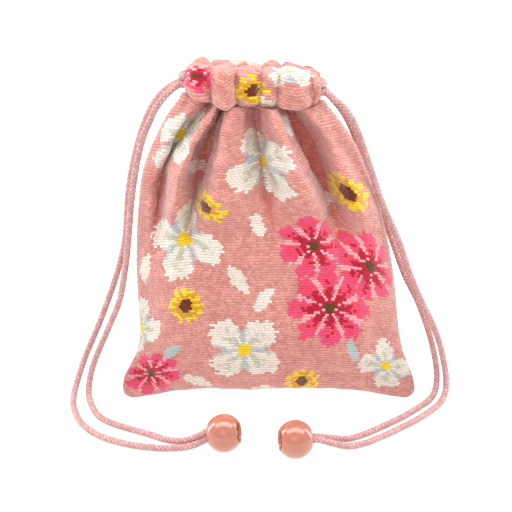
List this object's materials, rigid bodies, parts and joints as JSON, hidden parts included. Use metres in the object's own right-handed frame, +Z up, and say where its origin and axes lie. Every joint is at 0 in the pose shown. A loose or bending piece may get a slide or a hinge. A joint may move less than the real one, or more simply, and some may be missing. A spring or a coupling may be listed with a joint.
{
  "type": "drawstring pouch",
  "caption": "Small gathered cloth drawstring pouch that stands by itself, with braided cords that run through neck tunnels and end in round drilled beads.",
  "frame": {"origin": "on the surface that the pouch stands on, under the middle of the cloth body's box, without its free cords and beads", "axes": "+X to the right seen from the front, +Y from the front to the back, +Z up through the mouth"},
  "size_m": [0.2159, 0.1107, 0.1923],
  "materials": {
    "cloth": "matt chenille towelling in low cut rows, pink with a floral pattern",
    "cord": "round braid with a fine herringbone, slightly shiny",
    "bead": "polished and opaque"
  },
  "bodies": {
    "root": {"front_panel": "cloth", "back_panel": "cloth", "front_casing": "cloth", "back_casing": "cloth", "cord_left_front": "cord", "cord_left_back": "cord", "cord_right_front": "cord", "cord_right_back": "cord", "cord_left_loop": "cord", "cord_right_loop": "cord", "knot_left": "cord", "knot_right": "cord", "bead_left": "bead", "bead_right": "bead"}
  },
  "joints": []
}
